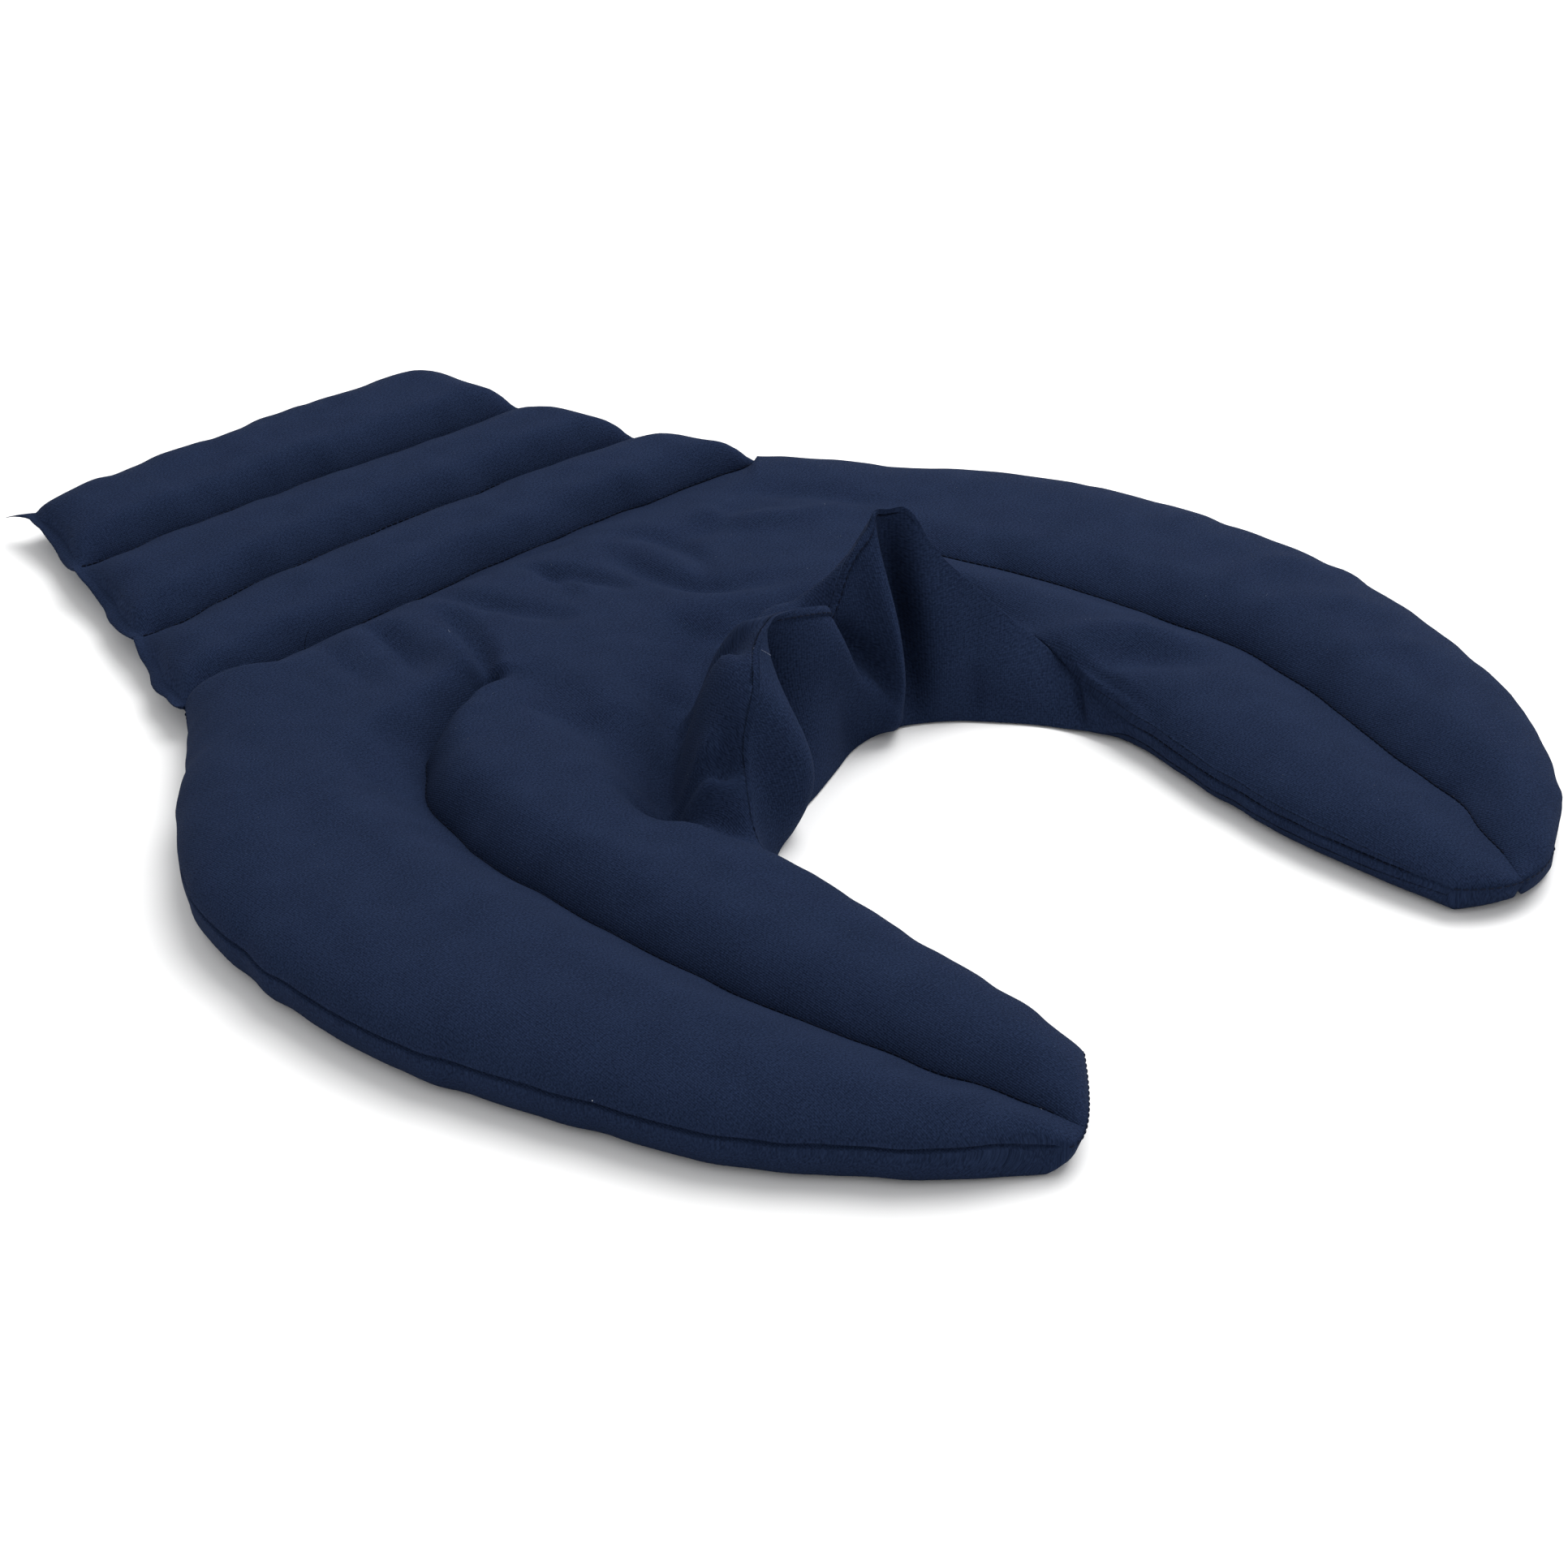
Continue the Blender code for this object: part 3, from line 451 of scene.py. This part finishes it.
def backPanel(across, steps):
    # Upper and lower cloth of the rolls: a row for each point along the yoke's seam, running to the back edge.
    upper, lower = [], []
    across = across[:, None]
    edgeZ, seamZ = cloth["edgeZ"], cloth["seamZ"]
    under = seamZ - cloth["seamThick"]
    for roll in range(len(crossSeams) - 1):
        lastRoll = roll == len(crossSeams) - 2
        for side in (upper, lower):
            part = (steps if roll == 0 else steps[1:])[None, :]
            (x1, y1), (x2, y2) = crossSeam(roll, across), crossSeam(roll + 1, across)
            x, y = x1 + (x2 - x1) * part, y1 + (y2 - y1) * part
            waver = cloth["sideWave"] * uneven(y, 0, cloth["sidePitch"], seeds["side"]) * np.sin(np.pi * part)
            x = x + waver * np.clip(1 - across * cloth["sideWaveIn"], 0, 1) ** 2
            long = np.hypot(x2 - x1, y2 - y1)
            before, after = part * long, (1 - part) * long
            wide = x[-1:] - x[:1]
            toSide = np.minimum(across, 1 - across) * wide
            drawn = quarter(toSide / cloth["crossFade"])
            lip = cloth["flangeThick"] / 2 * np.clip(1 - across * wide / cloth["sideRound"], 0, 1) ** 2
            if roll == 0:
                lip = lip * quarter(part / cloth["lipEnd"])
            if lastRoll:
                lip = lip * quarter((1 - part) / cloth["lipEnd"])
            if side is upper:
                seam = edgeZ + (seamZ - edgeZ) * drawn
                base = seam + (edgeZ - seam) * ease(0.5, 1, part) * lastRoll
                full = steep(before / cloth["rollSteep"])
                descent = incline(after / cloth["rollGentle"])
                if lastRoll:
                    descent = quarter(after / cloth["rollRound"])
                full = full * descent * quarter(toSide / cloth["rollRound"])
                slack = cloth["slack"] * uneven(x, y, cloth["slackPitch"], seeds["backSlack"])
                seed = seeds["rollPuckers"] + roll
                rise = cross["rollUp"][roll] - base + slack
                rise = rise + puckers(x, before, seed) + puckers(x, after, seed + 1)
                side.append(np.dstack([x, y, base + rise * full + lip]))
            else:
                seam = edgeZ + (under - edgeZ) * drawn
                atAfter = seam * trough(after)
                if lastRoll:
                    atAfter = edgeZ * (1 - quarter(after / cloth["sideRound"]))
                z = np.maximum.reduce(np.broadcast_arrays(
                    seam * trough(before), atAfter, edgeZ * (1 - quarter(toSide / cloth["sideRound"]))))
                side.append(np.dstack([x, y, z - lip]))
    return np.concatenate(upper, axis=1), np.concatenate(lower, axis=1)


def shellMesh(name, patches):
    # All patches in one mesh: a grid of quads each, then the points that lie on one another made one.
    points, faces, uvs, start = [], [], [], 0
    for grid, uv, flip in patches:
        rows, columns = grid.shape[:2]
        index = start + np.arange(rows * columns).reshape(rows, columns)
        around = [index[:-1, :-1], index[:-1, 1:], index[1:, 1:], index[1:, :-1]]
        quads = np.stack(around, axis=-1).reshape(-1, 4)
        faces.append(quads[:, ::-1] if flip else quads)
        points.append(grid.reshape(-1, 3))
        uvs.append(uv.reshape(-1, 2))
        start += rows * columns
    points, faces, uvs = np.concatenate(points), np.concatenate(faces), np.concatenate(uvs)
    cornerUv = uvs[faces.reshape(-1)].reshape(-1, 4, 2)
    steps = np.round(points / cloth["weld"]).astype(int)
    _, first, same = np.unique(steps, axis=0, return_index=True, return_inverse=True)
    faces, points = same.reshape(-1)[faces], (points[first] - pivot) * mm
    ordered = np.sort(faces, axis=1)
    repeats = (ordered[:, 1:] == ordered[:, :-1]).sum(axis=1)
    wanted = repeats < 2  # a face with fewer than three different corners goes
    mesh = bpy.data.meshes.new(name)
    corners, cornerUvs = [], []
    for face, uv in zip(faces[wanted], cornerUv[wanted]):
        keep = [k for k in range(4) if face[k] != face[k - 1]]
        corners.append([int(face[k]) for k in keep])
        cornerUvs.extend(uv[k] for k in keep)
    mesh.from_pydata(points.tolist(), [], corners)
    layer = mesh.uv_layers.new(name="cloth")
    layer.data.foreach_set("uv", np.array(cornerUvs, np.float32).reshape(-1))
    mesh.shade_smooth()
    made = bpy.data.objects.new(name, mesh)
    bpy.context.scene.collection.objects.link(made)
    return made


def planUv(points):
    # Metres along the weave: plan position, stretched by the slope of each row.
    steps = np.diff(points, axis=1)
    flat = np.maximum(np.hypot(steps[..., 0], steps[..., 1]), 1e-6)
    stretch = np.linalg.norm(steps, axis=2) / flat
    longer = steps[..., :2] * np.minimum(stretch, 4)[..., None]
    uv = np.concatenate([np.zeros_like(points[:, :1, :2]), np.cumsum(longer, axis=1)], axis=1)
    middle = points.shape[1] // 2
    return (uv - uv[:, middle:middle + 1] + points[:, middle:middle + 1, :2]) * mm


def pillowPatches():
    # The grids of all the cloths, with their columns closer together at the edges and at the arms' seams.
    last = len(sections) - 1
    place = np.linspace(0, last, last * cloth["perSection"] + 1)
    half = bunched(cloth["across"] // 2)
    close = half[1] * np.array([0.02, 0.08, 0.18, 0.32, 0.5, 0.72])
    inward = np.concatenate([half[:1], close, half[1:2], [0.007, 0.014, 0.019], half[3:]])
    outward = np.concatenate([half[:-1], 1 - close[::-1], half[-1:]])
    upper, lower = horseshoe(place, np.concatenate([inward / 2, 0.5 + outward[1:] / 2])[None, :])
    onSeam = place[(place >= yokeFirst) & (place <= yokeLast)]
    across = (onSeam - yokeFirst) / (yokeLast - yokeFirst)
    backUpper, backLower = backPanel(across, bunched(cloth["perRoll"]))

    detail = cloth["lumps"] * uneven(upper[..., 0], upper[..., 1], cloth["lumpPitch"], seeds["lumps"])
    fade = quarter(np.linspace(0, 60, upper.shape[1])) * quarter(np.linspace(60, 0, upper.shape[1]))
    fade = fade * (quarter(place) * quarter(last - place))[:, None]
    upper = upper + normals(upper) * (detail * fade)[..., None]
    x, y = backUpper[..., 0], backUpper[..., 1]
    detail = cloth["lumps"] * uneven(x, y, cloth["lumpPitch"], seeds["backLumps"])
    fade = np.ones(backUpper.shape[:2])
    fade[0] = fade[-1] = fade[:, 0] = fade[:, -1] = 0
    backUpper = backUpper + normals(backUpper) * (detail * fade)[..., None]
    stands = (place >= collarFirst) & (place <= collarLast)
    top = 1 - np.array([8, 6.2, 4.8, 4.1, 3.7, 3.4, 3.1, 2.8, 2.2, 1.4, 0.6, 0]) / 85
    height = np.concatenate([np.linspace(0, top[0], cloth["wall"])[:-1], top])
    face = collarFace(place[stands], height[None, :], lower[stands, 0], upper[stands, 0])
    return place, upper, lower, face, backUpper, backLower, len(inward) - 1


def flange(upperSide, lowerSide):
    # The flat closing strip outside the back panel's left side, from the yoke to the ear.
    part = np.linspace(0, 1, len(upperSide))[:, None]
    out = np.linspace(0, 1, cloth["flangeSteps"] + 1)[None, :]
    run = np.gradient(upperSide[:, :2], axis=0)
    run = run / np.linalg.norm(run, axis=1, keepdims=True)
    corner = ease(cloth["earFrom"], 1, part)
    width = cloth["flangeWide"] * quarter(part / 0.05) * (1 + 0.15 * np.sin(part * 17))
    width = width + cloth["ear"] * corner
    slant = cloth["earSlant"] * corner
    x = upperSide[:, :1] + (run[:, :1] * slant - run[:, 1:]) * width * out
    y = upperSide[:, 1:2] + (run[:, 1:] * slant + run[:, :1]) * width * out
    wave = (cloth["flangeWave"] * np.sin(part * 21 + 1) - 2 * corner) * out**1.5
    middle = (upperSide[:, 2:3] + lowerSide[:, 2:3]) / 2 + wave
    thick = (upperSide[:, 2:3] - lowerSide[:, 2:3]) / 2
    half = thick * (1 - out**6)
    return np.dstack([x, y, middle + half]), np.dstack([x, y, middle - half])


def put(tree, slot, value):
    # A socket's value is linked, and a constant is set.
    if isinstance(value, Socket):
        tree.links.new(value.socket, slot)
    else:
        slot.default_value = value


class Socket:
    # One shader value, with the arithmetic operators making Math nodes.
    def __init__(self, tree, socket):
        self.tree, self.socket = tree, socket

    def math(self, operation, *values):
        made = self.tree.nodes.new("ShaderNodeMath")
        made.operation = operation
        for slot, value in zip(made.inputs, values):
            put(self.tree, slot, value)
        return Socket(self.tree, made.outputs[0])

    def __add__(self, other):
        return self.math("ADD", self, other)

    def __radd__(self, other):
        return self.math("ADD", other, self)

    def __sub__(self, other):
        return self.math("SUBTRACT", self, other)

    def __rsub__(self, other):
        return self.math("SUBTRACT", other, self)

    def __mul__(self, other):
        return self.math("MULTIPLY", self, other)

    def __rmul__(self, other):
        return self.math("MULTIPLY", other, self)

    def sine(self):
        return self.math("SINE", self)

    def atLeast(self, other):
        return self.math("MAXIMUM", self, other)

    def atMost(self, other):
        return self.math("MINIMUM", self, other)


class Material:
    # A material's node tree, with one method that adds a node from its type, settings and sockets.
    def __init__(self, name):
        self.material = bpy.data.materials.new(name)
        self.material.use_nodes = True
        self.tree = self.material.node_tree
        self.shader = self.tree.nodes["Principled BSDF"]

    def node(self, kind, settings=None, output=0, **inputs):
        made = self.tree.nodes.new("ShaderNode" + kind)
        for name, value in (settings or {}).items():
            setattr(made, name, value)
        for name, value in inputs.items():
            put(self.tree, made.inputs[name.replace("_", " ")], value)
        return Socket(self.tree, made.outputs[output])

    def mix(self, factor, first, second):
        made = self.tree.nodes.new("ShaderNodeMix")
        made.data_type = "RGBA"
        for slot, value in ((0, factor), (6, first), (7, second)):  # the colour mix's own sockets
            put(self.tree, made.inputs[slot], value)
        return Socket(self.tree, made.outputs[2])

    def drive(self, name, value):
        put(self.tree, self.shader.inputs[name], value)


# The weave's size and the noises' scales are in metres and in waves to the metre.
cotton = {
    "dark": (0.0064, 0.0113, 0.0285, 1), "light": (0.0150, 0.0252, 0.0590, 1), "dust": (0.040, 0.052, 0.095, 1),
    "weave": 0.00078, "waver": 3.0, "weaveShade": 0.12, "mottleShade": 0.6, "fuzzShade": 2.6,
    "dustFrom": 0.74, "dustShade": 6.0, "weaveBump": 0.5, "fuzzBump": 1.3, "bump": 0.5, "bumpHigh": 0.0003,
    "rough": 0.95, "specular": 0.03, "sheen": 0.006, "sheenRough": 0.45, "sheenTint": (0.55, 0.66, 1.0, 1),
}


def navyCotton():
    made = Material("navyCotton")
    uv = made.node("UVMap", {"uv_map": "cloth"})
    u, v = (made.node("SeparateXYZ", None, output, Vector=uv) for output in (0, 1))

    def noise(scale, detail, **more):
        return made.node("TexNoise", None, 0, Vector=uv, Scale=scale, Detail=detail, **more)

    turn = 2 * math.pi / cotton["weave"]
    waver = noise(900.0, 2.0) * cotton["waver"]
    weave = (u * turn + waver).sine() * 0.6 + (v * turn + waver).sine() * 0.4
    fuzz, mottle = noise(1250.0, 2.0), noise(60.0, 5.0, Roughness=0.6)
    shade = weave * cotton["weaveShade"] + 0.5 + (mottle - 0.5) * cotton["mottleShade"]
    shade = (shade + (fuzz - 0.5) * cotton["fuzzShade"]).atMost(1.0).atLeast(0.0)
    dust = (noise(1400.0, 1.0) - cotton["dustFrom"]).atLeast(0.0) * cotton["dustShade"]
    made.drive("Base Color", made.mix(dust, made.mix(shade, cotton["dark"], cotton["light"]), cotton["dust"]))
    height = weave * cotton["weaveBump"] + fuzz * cotton["fuzzBump"]
    bump = made.node("Bump", None, 0, Strength=cotton["bump"], Distance=cotton["bumpHigh"], Height=height)
    made.drive("Normal", bump)
    made.drive("Roughness", cotton["rough"])
    made.drive("Specular IOR Level", cotton["specular"])
    made.drive("Sheen Weight", cotton["sheen"])
    made.drive("Sheen Roughness", cotton["sheenRough"])
    made.drive("Sheen Tint", cotton["sheenTint"])
    return made.material


place, upper, lower, face, backUpper, backLower, seamColumn = pillowPatches()
strip = flange(backUpper[0], backLower[0])
faceRun = np.concatenate([[0], np.cumsum(np.linalg.norm(np.diff(face[:, 0], axis=0), axis=1))]) * mm
faceUv = np.dstack([np.broadcast_to(faceRun[:, None], face.shape[:2]), face[..., 2] * mm])
patches = [  # points, their places on the weave, and whether their faces are turned over
    (upper, planUv(upper), True),
    (lower, planUv(lower), False),
    (face, faceUv, True),
    (backUpper, planUv(backUpper), True),
    (backLower, planUv(backLower), False),
    (strip[0], planUv(strip[0]), True),
    (strip[1], planUv(strip[1]), False),
]
pillow = shellMesh("pillowCloth", patches)
pillow.data.materials.append(navyCotton())
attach(pillow, "root")
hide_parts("pillow")
print("pillow cloth", len(pillow.data.vertices), "points")

# The stitches are navy thread coloured darker than the cloth, so every seam and sewn edge shows a thin dark
# line: partly the thread's own colour, partly painted shade of the seam's crease.
thread = {
    "long": 2.7, "gap": 0.4, "thick": 0.3, "sides": 6, "colour": (0.0042, 0.0070, 0.0180, 1), "lift": 0.45,
    "out": 0.2, "tipOut": -0.1, "fromTip": 0.3, "topstitch": (9.7, 15.2),
}
# Stations of a short tube: part of its length, its radius, and its height over the line in radii.
stations = np.array([(0.0, 0.3, -0.9), (0.15, 0.9, 0.1), (0.5, 1.0, 0.5), (0.85, 0.9, 0.1), (1.0, 0.3, -0.9)])


def tubes(starts, ends, up, thick, bow=1.0):
    # A short rounded tube from each start to each end: a ring of points at each station.
    along = ends - starts
    along = along / np.linalg.norm(along, axis=1, keepdims=True)
    side = np.cross(along, up)
    side = side / np.linalg.norm(side, axis=1, keepdims=True)
    top = np.cross(side, along)
    starts, ends, side, top = (values[:, None, None] for values in (starts, ends, side, top))
    turn = np.linspace(0, 2 * np.pi, thread["sides"], endpoint=False)[None, None, :, None]
    part, radius, rise = (values[None, :, None, None] for values in stations.T)
    middle = starts * (1 - part) + ends * part + top * rise * thick * bow
    points = middle + (side * np.cos(turn) + top * np.sin(turn)) * radius * thick
    index = np.arange(points.size // 3).reshape(points.shape[:3])
    after = np.roll(index, -1, axis=2)
    quads = np.stack([index[:, 1:], after[:, 1:], after[:, :-1], index[:, :-1]], axis=-1).reshape(-1, 4)
    caps = [tuple(row) for row in index[:, 0].tolist()] + [tuple(row[::-1]) for row in index[:, -1].tolist()]
    return points.reshape(-1, 3), quads.tolist(), caps


def solidMesh(name, points, faces, material):
    mesh = bpy.data.meshes.new(name)
    mesh.from_pydata(((points - pivot) * mm).tolist(), [], faces)
    mesh.shade_smooth()
    mesh.materials.append(material)
    made = bpy.data.objects.new(name, mesh)
    bpy.context.scene.collection.objects.link(made)
    return made


def stitchEnds(line, facing):
    # The starts and ends of the stitches along a line, and the directions that face out there.
    run = np.concatenate([[0], np.cumsum(np.linalg.norm(np.diff(line, axis=0), axis=1))])
    start = np.arange(1.0, run[-1] - thread["long"], thread["long"] + thread["gap"])
    at = lambda s, values: np.stack([np.interp(s, run, values[:, k]) for k in range(3)], axis=1)
    return at(start, line), at(start + thread["long"], line), at(start, facing)


def sewing(name, lines, material):
    # A row of stitches lying in each seam. Each line comes with the directions that face out of it.
    points, faces, start = [], [], 0
    for line, facing in lines:
        first, second, up = stitchEnds(line, np.broadcast_to(facing, line.shape))
        found, quads, caps = tubes(first, second, up, thread["thick"])
        points.append(found)
        faces += [[start + k for k in face] for face in quads + caps]
        start += len(found)
    return solidMesh(name, np.concatenate(points), faces, material)


def plainThread(name, colour, rough):
    made = Material(name)
    made.drive("Base Color", colour)
    made.drive("Roughness", rough)
    made.drive("Specular IOR Level", 0.05)
    return made.material


def looseThread(name, base, lean, colour, thick):
    # One thread end standing up from the cloth, as short tubes along a quadratic curve.
    part = np.linspace(0, 1, 7)[:, None]
    line = base + lean[0] * part + lean[1] * part**2
    points, quads, caps = tubes(line[:-1], line[1:], np.broadcast_to([0.3, 1.0, 0.2], (6, 3)), thick, bow=0.0)
    return solidMesh(name, points, quads + caps, plainThread(name + "Cotton", colour, 0.8))


def clothAt(x, y):
    # The upper cloth's nearest point to a place in plan.
    grid = upper.reshape(-1, 3)
    return grid[np.argmin(np.hypot(grid[:, 0] - x, grid[:, 1] - y))]


def outOf(edge, inside):
    # Level unit directions from points inside the cloth to its edge.
    out = edge - inside
    out[:, 2] = 0
    return out / np.linalg.norm(out, axis=1, keepdims=True)


def between(first, last):
    return (place >= first) & (place <= last)


def quiltingLines():
    # Stitches lie along the arms' seams, the back panel's seams and the sewn outer, tip and inner edges.
    lift, skyward = np.array([0, 0, thread["lift"]]), np.array([0, 0, 1.0])
    first, last = thread["fromTip"], len(sections) - 1 - thread["fromTip"]
    seams = [upper[between(first, cloth["sewnTo"] + 0.1), seamColumn],
             upper[between(cloth["sewnFrom"] + 0.4, last), seamColumn],
             upper[between(yokeFirst, yokeLast), -1]]
    seams += [backUpper[:, roll * cloth["perRoll"]] for roll in range(1, len(crossSeams) - 1)]
    lines = [(seam + lift, skyward) for seam in seams]
    for rows in (between(first, yokeFirst), between(yokeLast, last)):
        out = outOf(upper[rows, -1], upper[rows, -9])
        lines.append((upper[rows, -1] + out * thread["out"], out))
    for tip, inside in ((upper[0], upper[8]), (upper[-1], upper[-9])):
        out = outOf(tip, inside)[3:-3]
        lines.append((tip[3:-3] + out * thread["tipOut"], out))
    for rows in (between(first, collarFirst + 1), between(collarLast - 1, last)):
        out = outOf(upper[rows, 0], upper[rows, 12])
        lines.append((upper[rows, 0] + out * thread["out"], out))
    return lines


# Painted shade: the thread's dark colour also stands in for the shade in each seam's crease.
threadWithSeamShadeMaterial = plainThread("navyThreadSeamShade", thread["colour"], 0.7)
stitches = sewing("quiltingStitches", quiltingLines(), threadWithSeamShadeMaterial)
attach(stitches, "root")

standing = between(collarFirst, collarLast)
rimLine = face[between(*thread["topstitch"])[standing], -6]
topstitch = sewing("collarTopstitch", [(rimLine, np.array([-0.3, -1, 0.2]))], threadWithSeamShadeMaterial)
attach(topstitch, "root")
print("stitches laid")

fluff = {"count": 150, "long": (0.8, 3.0), "thick": 0.055, "colour": (0.22, 0.25, 0.30, 1), "seed": 3}


def lint():
    # Short pale fibres scattered over the upper cloth.
    rng = np.random.default_rng(fluff["seed"])
    row = rng.integers(8, len(upper) - 8, fluff["count"])
    column = rng.integers(14, upper.shape[1] - 14, fluff["count"])
    normal = normals(upper)[row, column]
    starts = upper[row, column] + normal * 0.12
    turn = rng.uniform(0, 2 * np.pi, fluff["count"])
    heading = np.stack([np.cos(turn), np.sin(turn), 0 * turn], axis=1)
    heading = heading - normal * (heading * normal).sum(axis=1, keepdims=True)
    heading = heading / np.linalg.norm(heading, axis=1, keepdims=True)
    ends = starts + heading * rng.uniform(*fluff["long"], fluff["count"])[:, None]
    points, quads, caps = tubes(starts, ends, normal, fluff["thick"], bow=6.0)
    return solidMesh("lint", points, quads + caps, plainThread("paleLint", fluff["colour"], 0.9))


fibres = lint()
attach(fibres, "root")

# name, place in plan, where the end leads, how it curls, colour and radius
threadEnds = [
    ("threadEndYoke", (-94, 193), (1.0, 2.0, 8.0), (2.0, -1.0, -1.0), (0.004, 0.006, 0.014, 1), 0.16),
    ("threadEndCollar", (-34, -2), (3.5, -2.0, 0.6), (-2.0, -6.0, -1.0), (0.10, 0.12, 0.17, 1), 0.13),
    ("threadEndArm", (-228, -122), (2.2, -1.2, 0.4), (0.4, 0.8, 0.0), (0.45, 0.48, 0.52, 1), 0.22),
]
for name, spot, leads, curls, colour, radius in threadEnds:
    base = clothAt(*spot) + np.array([0, 0, 0.2])
    made = looseThread(name, base, np.array([leads, curls]), colour, radius)
    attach(made, "root")

studio = {
    "floor": 0.93, "floorWide": 15.0, "world": 0.78, "key": 1.5, "keySpread": 0.7, "keyFrom": (0.6, 0.05, 1.15),
    "lamp": 6.0, "lampWide": 0.9, "lampAt": (0.75, 0.05, 0.8), "azimuth": -44.2, "elevation": 31.2,
    "distance": 1.393, "aim": (-15.7, 0.0, 0.0), "lens": 83.85, "sensor": 36.0,
}


def floorPlane():
    mesh = bpy.data.meshes.new("floor")
    wide = studio["floorWide"]
    corners = [(-wide, -wide, 0), (wide, -wide, 0), (wide, wide, 0), (-wide, wide, 0)]
    mesh.from_pydata(corners, [], [(0, 1, 2, 3)])
    made = bpy.data.objects.new("floor", mesh)
    bpy.context.scene.collection.objects.link(made)
    paper = Material("paper")
    paper.drive("Base Color", (studio["floor"],) * 3 + (1,))
    paper.drive("Roughness", 0.9)
    paper.drive("Specular IOR Level", 0.1)
    mesh.materials.append(paper.material)
    return made


def softKey():
    # A wide overhead light from behind and to the right, even over the whole pillow.
    light = bpy.data.lights.new("softKey", "SUN")
    light.energy, light.angle = studio["key"], studio["keySpread"]
    made = bpy.data.objects.new("softKey", light)
    bpy.context.scene.collection.objects.link(made)
    made.rotation_euler = Vector(studio["keyFrom"]).to_track_quat("Z", "Y").to_euler()


def farLamp():
    # A wide lamp over the right arm, so that the light falls off a little towards the left arm's tip.
    light = bpy.data.lights.new("farLamp", "AREA")
    light.energy, light.size = studio["lamp"], studio["lampWide"]
    made = bpy.data.objects.new("farLamp", light)
    bpy.context.scene.collection.objects.link(made)
    made.location = studio["lampAt"]
    made.rotation_euler = Vector(studio["lampAt"]).to_track_quat("Z", "Y").to_euler()


def photoCamera():
    turn, lift = math.radians(studio["azimuth"]), math.radians(studio["elevation"])
    back = Vector((math.sin(turn) * math.cos(lift), -math.cos(turn) * math.cos(lift), math.sin(lift)))
    aim = Vector(((np.array(studio["aim"]) - pivot) * mm).tolist())
    data = bpy.data.cameras.new("photoCamera")
    data.lens, data.sensor_width, data.clip_end = studio["lens"], studio["sensor"], 50.0
    made = bpy.data.objects.new("photoCamera", data)
    bpy.context.scene.collection.objects.link(made)
    made.location = aim + back * studio["distance"]
    made.rotation_euler = (-back).to_track_quat("-Z", "Y").to_euler()
    bpy.context.scene.camera = made


floor = floorPlane()
softKey()
farLamp()
world = bpy.data.worlds.new("studio")
bpy.context.scene.world = world
world.use_nodes = True
world.node_tree.nodes["Background"].inputs[0].default_value = white
world.node_tree.nodes["Background"].inputs[1].default_value = studio["world"]
photoCamera()
bpy.context.scene.view_settings.view_transform = "Standard"
print("studio set")
